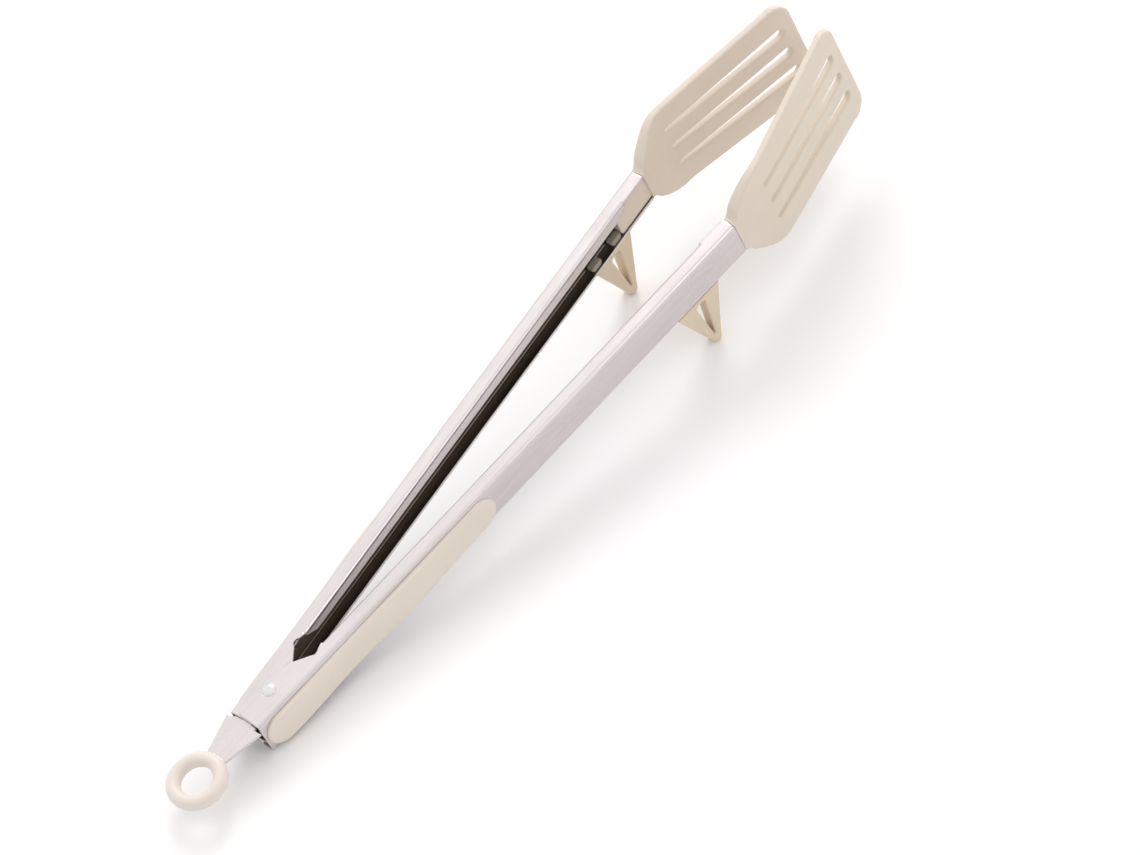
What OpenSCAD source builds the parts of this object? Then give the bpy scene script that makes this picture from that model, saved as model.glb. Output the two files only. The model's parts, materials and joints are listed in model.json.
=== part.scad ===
// Spring loaded kitchen tongs: slotted spatula heads, a foot under each arm
// and a pull ring at the hinge end.
//
// Each arm is drawn in its own level frame: the hinge axis is Z through the
// origin, +Y runs forward along the arm and +X points outward. The arms are
// then opened about the hinge, mirrored for the left-hand side, and the whole
// assembly is tipped back until its rear end and both feet rest on Z = 0.

/* [Arms] */
// Length of an arm from the hinge axis to its front end
arm_l = 230; // [180:1:300]
// Length of an arm behind the hinge axis
arm_tail = 13; // [11:0.5:18]
// Distance from the centre plane to the outer face of a closed arm
arm_x = 8.2; // [7:0.1:12]
// Height of the outer (right-hand) channel
arm_h = 16; // [14:0.5:24]
// Thickness of the steel sheet
sheet = 0.8; // [0.5:0.1:1.2]
// Width of a flange, from the outer face to its free edge
flange_w = 5.8; // [5:0.1:8]
// Height of the lip turned down from the top flange
lip_h = 4.5; // [2:0.1:6]
// Outer radius of the bends in the sheet
bend_r = 1.4; // [1.3:0.1:2]
// Half of the angle between the arms as they rest
rest_angle = 4.2; // [3.5:0.1:6]
// Angle that each arm can open further than it rests
open_travel = 5; // [3:0.5:5.5]

/* [Hinge] */
// Radius of the rivet's shank
pin_r = 2; // [1.5:0.1:3]
// Radius of the rivet's heads
pin_head_r = 2.9; // [2.6:0.1:4.5]
// Height of a rivet head
pin_head_h = 1.1; // [0.8:0.1:2]
// Reach of an ear across the centre plane, from the hinge axis
ear_reach = 4; // [3.5:0.1:6]
// Length of an ear ahead of the hinge axis
ear_front = 12.5; // [9:0.5:16]
// Length of an ear's slanted edge and the notch ahead of it
notch_l = 11; // [9:0.5:14]
// Depth of the notch in the flange's free edge
notch_d = 1.4; // [0.5:0.1:2]
// Diameter of the spring wire
wire_d = 1.2; // [0.8:0.1:1.6]
// Turns of the spring around the rivet, besides the part turn between the legs
spring_turns = 5; // [3:1:7]
// Length of the spring legs ahead of the hinge axis
spring_leg = 34; // [24:1:50]

/* [Pull ring] */
// Radius of the ring, to the middle of its section
ring_r = 8.6; // [7:0.1:14]
// Radius of the ring's round section
ring_tube_r = 2.75; // [2.2:0.05:4]
// Depth of the straight land inside the ring
ring_land = 0.2; // [0.1:0.05:0.5]
// Travel of the pull ring
ring_travel = 8; // [5:0.5:9]
// Thickness of the lock plate
plate_t = 1.2; // [0.8:0.1:1.6]
// Length of the lock plate behind its shoulders, to the ring
plate_tail = 15.5; // [10:0.5:24]
// Half width of the lock plate at the ring
plate_end_x = 4.2; // [3:0.1:6]

/* [Grips] */
// Length of a grip pad
grip_l = 114; // [80:1:140]
// Height of the strip of web left bare above a grip pad
grip_strip = 2; // [1.5:0.1:3]
// Thickness of a grip pad between its swells
grip_t = 1.1; // [1:0.1:3]
// Extra thickness of the swells of a grip pad
grip_swell = 1.2; // [0:0.1:2]
// Radius of the pegs that hold a grip pad
peg_r = 1.9; // [1.5:0.1:2.5]

/* [Heads] */
// Length of a head ahead of the arm
head_l = 75.5; // [60:0.5:100]
// Half of a head's width where its flare ends
head_half_w = 20.5; // [17:0.5:28]
// Widening of each side from the flare to the tip
head_widen = 4; // [0:0.5:8]
// Length of the flare
flare_l = 18; // [12:0.5:24]
// Thickness of a blade
blade_t = 3; // [2.6:0.1:4]
// Outer radius of the bend behind the blade
blade_bend_r = 40; // [25:1:80]
// Angle at which the blade leans towards the other blade
blade_angle = 17; // [12:0.5:20]
// Radius of the corners at the tip
tip_r = 7; // [4:0.5:12]
// Length of blade ahead of the slots
slot_margin = 4.8; // [4:0.1:10]
// Distance between neighbouring slots at their narrow ends
slot_pitch = 9.7; // [8:0.1:12]
// Width of a slot at its narrow end
slot_w_root = 2; // [1.4:0.1:3]
// Width of a slot at its round, wide end
slot_w_tip = 4.4; // [3:0.1:6]
// Length of the shank inside the arm
shank_l = 18; // [14:0.5:24]
// Thickness of the stiff core inside a blade
core_t = 1; // [0.6:0.1:1.2]

/* [Feet] */
// Distance from the head's shank back to the middle of a foot
foot_gap = 7; // [7:1:50]
// Length of a foot along the arm
foot_l = 21; // [16:0.5:28]
// Height of the middle of the arms above a foot's tip
foot_drop = 33.5; // [26:0.5:45]
// Width of a foot across the arm
foot_w = 5; // [4:0.1:5.4]
// Radius of a foot's tip
foot_tip_r = 2.1; // [1.5:0.1:3]

/* [Fits] */
// Radial clearance between the rivet and the arms
hinge_fit = 0.05; // [0.02:0.01:0.1]
// Gap between sheets that slide over each other
slide_gap = 0.1; // [0.05:0.05:0.2]
// Clearance between a moulded piece and the steel it clips into
clip_fit = 0.1; // [0.05:0.05:0.2]

/* [Hidden] */

$fn = 64;
eps = 0.01;
fine = 180;

RIGHT = 1;
LEFT = -1;

// The left-hand channel is nested inside the right-hand one, so that its ears
// lie under the other arm's ears at the hinge.
nest = sheet + slide_gap;
function side_h(side) = side == RIGHT ? arm_h : arm_h - 2 * nest;
function inner_h(side) = side_h(side) - 2 * sheet;

// Places across an arm
web_in = arm_x - sheet;
flange_x = arm_x - flange_w;

// Grip pads: flush with the foot of the web
function grip_h(side) = side_h(side) - grip_strip - clip_fit;
grip_z = -(grip_strip - clip_fit) / 2;

// Lock plate: just below the top flanges, its neck clears the rear of both
// arms at any opening
plate_z = inner_h(LEFT) / 2 - 2 * slide_gap - plate_t / 2;
widest_angle = rest_angle + open_travel;
neck_x = web_in * cos(widest_angle) - arm_tail * sin(widest_angle) - slide_gap;
front_x = web_in * cos(widest_angle) - slide_gap;
slot_front = ring_travel + pin_r + clip_fit;
plate_front = slot_front + 2.2;
shoulder_y = -(arm_tail * cos(widest_angle) + arm_x * sin(widest_angle)) - slide_gap;
plate_rear = shoulder_y - plate_tail;
ring_y = plate_rear - ring_r - ring_tube_r + 1.2;
tongue_l = 3.4;
tongue_x = 2.2;

// Spring
coil_r = pin_r + 0.5 + wire_d / 2;
coil_top = plate_z - plate_t / 2 - 0.3 - wire_d / 2;
coil_pitch = wire_d + 0.25;

// Heads
collar_y = arm_l;
neck_y = arm_l + 10;
blade_out = arm_x - 0.4;
tip_y = arm_l + head_l;
slot_y = arm_l + 18.5;
slot_l = tip_y - slot_margin - slot_w_tip / 2 - slot_y;
slot_spread = 1.2;
core_x = blade_out - blade_t / 2;
bend_x = blade_out - blade_bend_r;
bend_in = blade_bend_r - blade_t;
blade_run = (tip_y - neck_y - bend_in * sin(blade_angle)) / cos(blade_angle);
tip_x = bend_x + bend_in * cos(blade_angle) - blade_run * sin(blade_angle);

// Feet
foot_x = arm_x - flange_w / 2;
foot_y = arm_l - shank_l - foot_gap;
tab_l = 4.4;
tab_w = 3.4;
tab_ys = [foot_y - 8, foot_y + 4];

// Resting attitude: the rear lower corner of the right-hand arm and the round
// tips of the feet meet the table.
rear_y = -(arm_tail * cos(rest_angle) + arm_x * sin(rest_angle));
foot_tip_y = foot_y * cos(rest_angle) - (foot_x + foot_w / 2) * sin(rest_angle);
lever_y = foot_tip_y - rear_y;
lever_z = foot_drop - foot_tip_r - arm_h / 2;
tilt = atan2(lever_z, lever_y) + asin(foot_tip_r / norm([lever_y, lever_z]));
stand_z = -(rear_y * sin(tilt) - arm_h / 2 * cos(tilt));
span_front = (tip_y * cos(rest_angle) - tip_x * sin(rest_angle) - tip_r) * cos(tilt)
    + (head_half_w + head_widen - tip_r) * sin(tilt) + tip_r;
span_rear = (ring_y - ring_r) * cos(tilt) - ring_tube_r - plate_z * sin(tilt);
mid_y = (span_front + span_rear) / 2;

steel = [0.80, 0.78, 0.78];
cream = [0.88, 0.83, 0.77];
pale_cream = [0.93, 0.88, 0.84];
foot_cream = [0.84, 0.78, 0.68];
nylon = [0.75, 0.70, 0.62];

// ---------------------------------------------------------------- placing

// Stands the level assembly on the table
module stood() {
    translate([0, -mid_y, stand_z])
        rotate([tilt, 0, 0])
            children();
}

// Opens an arm about the hinge and mirrors it for the left-hand side
module opened(side) {
    stood()
        mirror([side == RIGHT ? 0 : 1, 0, 0])
            rotate([0, 0, -rest_angle])
                children();
}

// Extrudes an outline in (y, z) along X, from x0 to x1
module along_x(x0, x1) {
    translate([x0, 0, 0])
        rotate([90, 0, 90])
            linear_extrude(x1 - x0)
                children();
}

// Extrudes an outline in (x, z) along Y, from y0 to y1
module along_y(y0, y1) {
    translate([0, y1, 0])
        rotate([90, 0, 0])
            linear_extrude(y1 - y0)
                children();
}

// Extrudes an outline in (x, y) along Z, from z0 to z1
module along_z(z0, z1) {
    translate([0, 0, z0])
        linear_extrude(z1 - z0)
            children();
}

// ---------------------------------------------------------------- outlines

// Points of an arc about a centre, from angle a0 to a1
function arc(c, r, a0, a1, n = 8) =
    [for (i = [0:n]) c + r * [cos(a0 + (a1 - a0) * i / n), sin(a0 + (a1 - a0) * i / n)]];

// A bend of the sheet: a quarter ring about a centre
module bend(x, z, turn) {
    translate([x, z])
        rotate(turn)
            intersection() {
                difference() {
                    circle(bend_r);
                    circle(bend_r - sheet);
                }
                square(bend_r + 1);
            }
}

// Section of the channel: web, two flanges and the bends between them
module channel_section(h) {
    translate([web_in, -h / 2 + bend_r])
        square([sheet, h - 2 * bend_r]);
    bend(arm_x - bend_r, h / 2 - bend_r, 0);
    bend(arm_x - bend_r, -h / 2 + bend_r, -90);
    for (z = [h / 2 - sheet, -h / 2])
        translate([flange_x, z])
            square([flange_w - bend_r, sheet]);
}

// Outline of an ear: it crosses the centre plane around the rivet, slants back
// to the notch ahead of it and is rounded at the rear
module ear_outline() {
    rear_r = 3;
    polygon(concat(
        [[flange_x + 1, -arm_tail], [flange_x + 1, ear_front + 6],
         [-1, ear_front], [-ear_reach + 0.8, ear_front - 6.2]],
        arc([-ear_reach + rear_r, -arm_tail + rear_r], rear_r, 180, 270)
    ));
}

// The notch in the flange's free edge ahead of an ear
module ear_notch() {
    polygon([[flange_x - 6, ear_front + notch_l], [flange_x, ear_front + notch_l],
             [flange_x + notch_d, ear_front + 7.2], [-1, ear_front], [flange_x - 6, ear_front]]);
}

// Side outline of the lip, tapered at both ends
module lip_outline(h) {
    lip_rear = ear_front + notch_l + 0.3;
    lip_front = arm_l - 12;
    polygon([[lip_rear, h / 2], [lip_rear + 5.5, h / 2 - lip_h],
             [lip_front - 5.5, h / 2 - lip_h], [lip_front, h / 2]]);
}

// Section of the lip, with its bend
module lip_section(h) {
    bend(flange_x + bend_r, h / 2 - bend_r, 90);
    translate([flange_x, h / 2 - lip_h])
        square([sheet, lip_h - bend_r]);
}

// Half width of a head at a distance u ahead of the arm
function head_half(u, h) =
    h / 2 + (head_half_w - h / 2) * sin(90 * min(1, u / flare_l))
    + head_widen * max(0, u - flare_l / 2) / (head_l - flare_l / 2);

// One side of a head's outline in (y, z), inset by a margin
function head_side(h, inset) =
    concat(
        [for (i = [0:12]) let (u = flare_l * i / 12)
            [collar_y + u, head_half(u, h) - inset]],
        arc([tip_y - inset - tip_r, head_half(head_l, h) - inset - tip_r], tip_r, 80, 0, 8)
    );

// Outline of a head from its collar to its tip, inset by a margin
module head_outline(h, inset) {
    side = head_side(h, inset);
    polygon(concat(side, [for (i = [len(side) - 1:-1:0]) [side[i][0], -side[i][1]]]));
}

// Tapered slots with round ends, wider by a margin on each side
module slot_outlines(margin) {
    for (k = [-1:1]) {
        root = [slot_y, k * slot_pitch];
        end = [slot_y + slot_l, k * (slot_pitch + slot_spread)];
        r0 = slot_w_root / 2 + margin;
        r1 = slot_w_tip / 2 + margin;
        translate(root) circle(r0);
        translate(end) circle(r1);
        polygon([root + [0, r0], root - [0, r0], end - [0, r1], end + [0, r1]]);
    }
}

// ---------------------------------------------------------------- pieces

// A pressed steel arm: channel, lip, ears, and the holes for what clips in
module arm(side) {
    h = side_h(side);
    color(steel)
    opened(side)
        difference() {
            union() {
                along_y(-arm_tail, arm_l)
                    channel_section(h);
                intersection() {
                    along_y(0, arm_l)
                        lip_section(h);
                    along_x(flange_x - 1, flange_x + bend_r + 1)
                        lip_outline(h);
                }
                for (z = [h / 2 - sheet, -h / 2])
                    along_z(z, z + sheet)
                        ear_outline();
            }
            along_z(-arm_h, arm_h)
                ear_notch();
            cylinder(h = 2 * arm_h, r = pin_r + hinge_fit, center = true);
            peg_holes();
            foot_holes(h);
            nib_hole(h);
        }
}

// Holes in the web for the grip's pegs
module peg_holes() {
    for (y = peg_ys())
        translate([web_in - 1, y, 0])
            rotate([0, 90, 0])
                cylinder(h = sheet + 2, r = peg_r + clip_fit);
}

// Holes in the lower flange for the foot's two tabs
module foot_holes(h) {
    for (y = tab_ys)
        translate([foot_x, y, -h / 2])
            cube([tab_w + 2 * clip_fit, tab_l + 2 * clip_fit, 4 * sheet], center = true);
}

// Hole in the lower flange for the nib on the head's shank
module nib_hole(h) {
    translate([core_x, arm_l - 6, -h / 2])
        cube([1.6 + 2 * clip_fit, 4 + 2 * clip_fit, 4 * sheet], center = true);
}

// The rivet: a shank and two domed heads
module pivot_rivet() {
    dome_r = (pow(pin_head_r, 2) + pow(pin_head_h, 2)) / (2 * pin_head_h);
    color([0.9, 0.9, 0.9])
    stood() {
        cylinder(h = arm_h, r = pin_r, center = true);
        for (turn = [0, 180])
            rotate([turn, 0, 0])
                translate([0, 0, arm_h / 2])
                    intersection() {
                        translate([0, 0, pin_head_h - dome_r])
                            sphere(dome_r);
                        cylinder(h = pin_head_h + 1, r = pin_head_r);
                    }
    }
}

// Place of the spring leg's end on one side
function leg_end(side) =
    let (x = web_in - slide_gap - wire_d / 2, y = spring_leg)
    [side * (x * cos(rest_angle) + y * sin(rest_angle)), y * cos(rest_angle) - x * sin(rest_angle)];

// Route of the spring wire: right-hand leg, turns around the rivet from the
// bottom up, left-hand leg
function spring_route() =
    let (
        e = leg_end(RIGHT),
        lead = asin(coil_r / norm(e)),
        off = 90 - atan2(e[1], e[0]),
        a0 = -(off - lead),
        sweep = 180 + 2 * a0 + 360 * spring_turns,
        n = 14 * (spring_turns + 1),
        low = coil_top - coil_pitch * sweep / 360
    )
    concat(
        [[e[0], e[1], low]],
        [for (i = [0:n]) let (a = a0 - sweep * i / n)
            [coil_r * cos(a), coil_r * sin(a), low + coil_pitch * sweep / 360 * i / n]],
        [[-e[0], e[1], coil_top]]
    );

// Sweeps a round section along a route as one closed surface
module wire(route, r, sides = 8) {
    n = len(route);
    function heading(i) =
        let (d = route[min(n - 1, i + 1)] - route[max(0, i - 1)]) d / norm(d);
    function ring(i) =
        let (t = heading(i), u = cross(t, [0, 0, 1]) / norm(cross(t, [0, 0, 1])), v = cross(u, t))
        [for (k = [0:sides - 1]) let (a = 360 * k / sides)
            route[i] + r * (cos(a) * u + sin(a) * v)];
    points = [for (i = [0:n - 1]) each ring(i)];
    skin = [for (i = [0:n - 2], k = [0:sides - 1]) let (m = (k + 1) % sides)
        [i * sides + k, i * sides + m, (i + 1) * sides + m, (i + 1) * sides + k]];
    caps = [
        [for (k = [sides - 1:-1:0]) k],
        [for (k = [0:sides - 1]) (n - 1) * sides + k]
    ];
    polyhedron(points, concat(skin, caps));
}

// The torsion spring: it pushes the two arms apart
module torsion_spring() {
    color([0.7, 0.7, 0.7])
    stood()
        wire(spring_route(), wire_d / 2);
}

// The lock plate: slotted around the rivet, shouldered behind the arms
module lock_plate() {
    lean = 0.6;
    color(steel)
    stood()
        along_z(plate_z - plate_t / 2, plate_z + plate_t / 2)
            difference() {
                polygon([
                    [front_x - lean, plate_front], [-front_x + lean, plate_front],
                    [-front_x, ring_travel], [-neck_x, ring_travel - arm_tail],
                    [-neck_x, shoulder_y], [-arm_x, shoulder_y], [-plate_end_x, plate_rear],
                    [-tongue_x, plate_rear], [-tongue_x, plate_rear - tongue_l],
                    [tongue_x, plate_rear - tongue_l], [tongue_x, plate_rear],
                    [plate_end_x, plate_rear], [arm_x, shoulder_y], [neck_x, shoulder_y],
                    [neck_x, ring_travel - arm_tail], [front_x, ring_travel]
                ]);
                rivet_slot();
            }
}

// The slot that lets the plate slide past the rivet
module rivet_slot() {
    r = pin_r + clip_fit;
    for (y = [0, ring_travel])
        translate([0, y])
            circle(r);
    translate([-r, 0])
        square([2 * r, ring_travel]);
}

// The pull ring, moulded around the plate's tongue
module hang_ring() {
    color(pale_cream)
    stood()
        difference() {
            translate([0, ring_y, plate_z])
                rotate_extrude($fn = fine)
                    difference() {
                        translate([ring_r, 0])
                            circle(ring_tube_r);
                        translate([0, -ring_tube_r])
                            square([ring_r - ring_tube_r + ring_land, 2 * ring_tube_r]);
                    }
            translate([0, plate_rear, plate_z])
                cube([2 * tongue_x, 2 * tongue_l, plate_t], center = true);
            translate([0, plate_rear + 1.5, plate_z])
                cube([4 * plate_end_x, 3, plate_t], center = true);
        }
}

// Places of the pegs along a grip
function peg_ys() = [for (k = [0.3, 0.6, 0.9]) -arm_tail + 1 + grip_l * k];

// Thickness of a grip at a share s of its length: two finger swells
function grip_depth(s) = grip_t + grip_swell * pow(cos(180 * (s - 0.1) / 0.53), 2);

// A moulded grip pad on the outside of an arm's web, with its pegs
module grip(side) {
    y0 = -arm_tail + 1;
    end_r = grip_h(side) / 2;
    steps = 36;
    color(cream)
    opened(side) {
        intersection() {
            along_x(arm_x, arm_x + grip_t + grip_swell + 1) {
                translate([y0 + end_r, grip_z]) circle(end_r);
                translate([y0 + grip_l - end_r, grip_z]) circle(end_r);
                translate([y0 + end_r, grip_z - end_r]) square([grip_l - 2 * end_r, 2 * end_r]);
            }
            along_z(-arm_h, arm_h)
                polygon(concat(
                    [[arm_x, y0 + grip_l], [arm_x, y0]],
                    [for (i = [0:steps]) let (s = i / steps)
                        [arm_x + grip_depth(s) - 0.6 * pow(2 * s - 1, 8), y0 + grip_l * s]]
                ));
        }
        for (y = peg_ys())
            translate([web_in - 0.8, y, 0])
                rotate([0, 90, 0])
                    cylinder(h = sheet + 1.2, r = peg_r);
    }
}

// A bent layer of the head, x0 being its outer face: straight, an arc, straight
module bent_layer(x0, t) {
    r = blade_bend_r - (blade_out - x0);
    centre = [bend_x, neck_y];
    steps = 12;
    outer = arc(centre, r, 0, blade_angle, steps);
    inner = arc(centre, r - t, blade_angle, 0, steps);
    run = 2 * head_l * [-sin(blade_angle), cos(blade_angle)];
    along_z(-2 * head_half_w, 2 * head_half_w)
        polygon(concat(
            [[x0, collar_y]], outer, [outer[steps] + run, inner[0] + run],
            inner, [[x0 - t, collar_y]]
        ));
}

// Blade, neck, collar and shank of a head, before its slots
module head_solid(side) {
    h = side_h(side);
    shank_h = inner_h(side) - 2 * clip_fit;
    shank_x = blade_out - blade_t - 0.6;
    intersection() {
        bent_layer(blade_out, blade_t);
        along_x(-blade_bend_r, arm_x)
            head_outline(h, 0);
    }
    intersection() {
        along_x(flange_x, arm_x)
            head_outline(h, 0);
        along_z(-arm_h * 2, arm_h * 2)
            polygon([
                [flange_x, collar_y], [arm_x, collar_y], [arm_x - 0.2, collar_y + 5],
                [blade_out - 0.6, neck_y + 4], [blade_out - blade_t, neck_y + 4],
                [flange_x + 0.6, collar_y + 4]
            ]);
    }
    along_y(collar_y - shank_l, collar_y + 1)
        shank_section(shank_x, web_in - clip_fit, shank_h);
    translate([core_x - 0.8, arm_l - 8, -shank_h / 2 - 0.7])
        cube([1.6, 4, 1]);
}

// Section of the shank, cut back where it meets the channel's bends
module shank_section(x0, x1, h) {
    cut = bend_r - sheet + clip_fit;
    polygon([[x0, -h / 2], [x1 - cut, -h / 2], [x1, -h / 2 + cut],
             [x1, h / 2 - cut], [x1 - cut, h / 2], [x0, h / 2]]);
}

// A moulded spatula head around its stiff core
module head(side) {
    color(cream)
    opened(side)
        difference() {
            head_solid(side);
            along_x(-blade_bend_r, arm_x + 1)
                slot_outlines(0);
            head_core_solid(side);
        }
}

// The stiff core: a plate in the shank and a bent, slotted plate in the blade
module head_core_solid(side) {
    h = side_h(side);
    inset = 4;
    core_half = inner_h(side) / 2 - 2;
    difference() {
        intersection() {
            bent_layer(core_x + core_t / 2, core_t);
            along_x(-blade_bend_r, arm_x)
                intersection() {
                    head_outline(h, inset);
                    translate([neck_y, -2 * head_half_w])
                        square([head_l, 4 * head_half_w]);
                }
        }
        along_x(-blade_bend_r, arm_x + 1)
            slot_outlines(1.2);
    }
    translate([core_x - core_t / 2, collar_y - shank_l + 2, -core_half])
        cube([core_t, neck_y - collar_y + shank_l - 2 + eps, 2 * core_half]);
}

module head_core(side) {
    color(nylon)
    opened(side)
        head_core_solid(side);
}

// Side outline of a foot in (y, z): two legs that meet in a round tip
module foot_outline(h) {
    base_z = -h / 2;
    tip_z = -foot_drop + foot_tip_r;
    polygon([
        [foot_y - foot_l / 2, base_z], [foot_y + foot_l / 2, base_z],
        [foot_y + foot_tip_r, tip_z], [foot_y - foot_tip_r, tip_z]
    ]);
    translate([foot_y, tip_z])
        circle(foot_tip_r);
}

// A foot under the lower flange, held by two barbed tabs
module foot(side) {
    h = side_h(side);
    base_z = -h / 2;
    gap_top = 2.2;
    gap_low = -foot_drop + 2 * foot_tip_r + 1;
    gap_w = 4.6;
    color(foot_cream)
    opened(side) {
        difference() {
            along_x(foot_x - foot_w / 2, foot_x + foot_w / 2)
                foot_outline(h);
            along_x(foot_x - foot_w, foot_x + foot_w)
                polygon([
                    [foot_y - gap_w / 2, base_z - gap_top], [foot_y + gap_w / 2, base_z - gap_top],
                    [foot_y + 0.3, gap_low], [foot_y - 0.3, gap_low]
                ]);
        }
        for (y = tab_ys) {
            translate([foot_x, y, base_z + sheet])
                cube([tab_w, tab_l, 2 * sheet + 0.6], center = true);
            translate([foot_x, y, base_z + sheet + 0.05 + 0.9])
                cube([tab_w - 0.2, tab_l + 1.1, 1.8], center = true);
        }
    }
}

arm(RIGHT);  // right_arm
arm(LEFT);  // left_arm
pivot_rivet();
torsion_spring();
lock_plate();
hang_ring();
grip(RIGHT);  // right_grip
grip(LEFT);  // left_grip
head(RIGHT);  // right_head
head(LEFT);  // left_head
head_core(RIGHT);  // right_head_core
head_core(LEFT);  // left_head_core
foot(RIGHT);  // right_foot
foot(LEFT);  // left_foot
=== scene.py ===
"""Spring loaded kitchen tongs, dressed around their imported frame.

Every surface is worked out in the level frame of an arm, in millimetres: the
hinge axis is Z through the origin, +Y runs forward along the arm and +X points
outward. A Stance then opens, mirrors and tips the points into the shared frame.
"""

import json
import logging
import math
from dataclasses import dataclass, field
from enum import Enum
from typing import Callable, Optional, Sequence

import bmesh
import bpy
import numpy as np
from mathutils import Matrix, Vector


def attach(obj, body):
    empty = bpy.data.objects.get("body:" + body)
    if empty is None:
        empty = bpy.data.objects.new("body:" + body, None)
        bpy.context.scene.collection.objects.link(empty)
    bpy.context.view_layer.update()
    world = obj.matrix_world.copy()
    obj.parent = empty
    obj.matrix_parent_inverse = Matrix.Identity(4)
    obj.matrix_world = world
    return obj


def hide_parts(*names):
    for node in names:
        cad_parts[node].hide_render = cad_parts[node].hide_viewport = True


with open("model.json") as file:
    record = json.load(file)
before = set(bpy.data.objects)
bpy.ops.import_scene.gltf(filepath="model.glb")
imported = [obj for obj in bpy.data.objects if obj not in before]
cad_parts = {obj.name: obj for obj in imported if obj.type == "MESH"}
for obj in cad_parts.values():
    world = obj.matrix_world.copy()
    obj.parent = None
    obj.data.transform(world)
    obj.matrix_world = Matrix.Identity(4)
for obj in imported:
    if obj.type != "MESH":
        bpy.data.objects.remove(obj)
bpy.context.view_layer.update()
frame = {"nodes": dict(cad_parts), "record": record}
LOG = logging.getLogger("tongs")
MM = 0.001
MERGE = 2e-7
SHARP = math.radians(38)


class Side(Enum):
    """The two arms, as seen from the pull ring."""

    RIGHT = 1
    LEFT = -1

    @property
    def label(self) -> str:
        """The side's name as the nodes have it."""
        return self.name.lower()

    @property
    def body(self) -> str:
        """The body that a side's pieces ride on."""
        return f"{self.label}_side"


# ---------------------------------------------------------------- sizes


@dataclass(frozen=True)
class Stance:
    """How the level assembly stands on the table: tilt, and place of the hinge.

    Attributes:
        tilt: nose-up angle in radians.
        hinge: place of the hinge axis at mid height, in metres.
        rest: half of the angle between the arms, in radians.
    """

    tilt: float
    hinge: tuple[float, float, float]
    rest: float = math.radians(4.2)

    @classmethod
    def from_frame(cls) -> "Stance":
        """Reads the hinge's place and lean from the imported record."""
        joint = frame["record"]["behaviour"]["joints"][0]
        axis = joint["axis"]
        return cls(math.atan2(-axis[1], axis[2]), tuple(joint["pos_m"]))

    def stand(self, points: np.ndarray) -> np.ndarray:
        """Tips level points about X and moves them to the hinge.

        y' = y cos t - z sin t, z' = y sin t + z cos t, then the hinge is added.

        Args:
            points: (n, 3) points in millimetres.

        Returns:
            (n, 3) points in metres.
        """
        c, s = math.cos(self.tilt), math.sin(self.tilt)
        turn = np.array([[1, 0, 0], [0, c, -s], [0, s, c]])
        return points @ turn.T * MM + np.array(self.hinge)

    def open(self, points: np.ndarray, side: Side) -> np.ndarray:
        """Opens an arm's points about the hinge, mirrors them and stands them.

        x' = x cos r + y sin r, y' = y cos r - x sin r, then x' is negated on
        the left-hand side.

        Args:
            points: (n, 3) points in an arm's own frame, in millimetres.
            side: the arm they belong to.

        Returns:
            (n, 3) points in metres.
        """
        c, s = math.cos(self.rest), math.sin(self.rest)
        turn = np.array([[c, s, 0], [-s, c, 0], [0, 0, 1]])
        out = points @ turn.T
        out[:, 0] *= side.value
        return self.stand(out)

    def grain_turn(self, side: Optional[Side]) -> tuple[float, float, float]:
        """Rotation that turns object coordinates back into the arm's frame.

        Args:
            side: the arm, or None for a piece on the centre plane.

        Returns:
            Euler angles for a Mapping node.
        """
        return tuple(self.back(side).to_euler("XYZ"))

    def back(self, side: Optional[Side]) -> Matrix:
        """The rotation that closes a side and levels it again."""
        yaw = 0.0 if side is None else side.value * self.rest
        return Matrix.Rotation(yaw, 3, "Z") @ Matrix.Rotation(-self.tilt, 3, "X")

    def shift(self, side: Optional[Side]) -> tuple[float, float, float]:
        """Move that brings the hinge back to the origin after the turn."""
        return tuple(-(self.back(side) @ Vector(self.hinge)))


@dataclass(frozen=True)
class Sizes:
    """Sizes that several pieces share, in millimetres."""

    arm_l: float = 230.0
    arm_tail: float = 13.0
    arm_x: float = 8.2
    arm_h: float = 16.0
    sheet: float = 0.8
    flange_w: float = 5.8
    lip_h: float = 4.5
    bend_r: float = 1.4
    ear_front: float = 12.5
    slide_gap: float = 0.1

    @property
    def flange_x(self) -> float:
        """Distance from the centre plane to a flange's free edge."""
        return self.arm_x - self.flange_w

    @property
    def web_in(self) -> float:
        """Distance from the centre plane to the web's inner face."""
        return self.arm_x - self.sheet

    def height(self, side: Side) -> float:
        """Height of a side's channel; the left one is nested in the right one."""
        nest = self.sheet + self.slide_gap
        return self.arm_h if side is Side.RIGHT else self.arm_h - 2 * nest


# ---------------------------------------------------------------- surfaces


def ease(t: np.ndarray) -> np.ndarray:
    """Smooth step 3t^2 - 2t^3 with t held to 0..1."""
    u = np.clip(t, 0.0, 1.0)
    return u * u * (3.0 - 2.0 * u)


def rows(*parts: Sequence[float]) -> np.ndarray:
    """Joins lists of row places into one rising list without repeats."""
    return np.unique(np.round(np.concatenate([np.asarray(p, float) for p in parts]), 5))


def quarter(count: int) -> np.ndarray:
    """Angles of a quarter turn, from 0 to 90 degrees."""
    return np.linspace(0, math.pi / 2, count)


def curl(count: int) -> np.ndarray:
    """Steps 0..1 that crowd towards 0 as a quarter circle does: 1 - cos a."""
    return 1 - np.cos(quarter(count))


def outside(v: np.ndarray, low: float, high: float) -> np.ndarray:
    """Distance by which v lies below low or above high, or 0 between them."""
    return np.maximum(np.maximum(low - v, v - high), 0.0)


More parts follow.
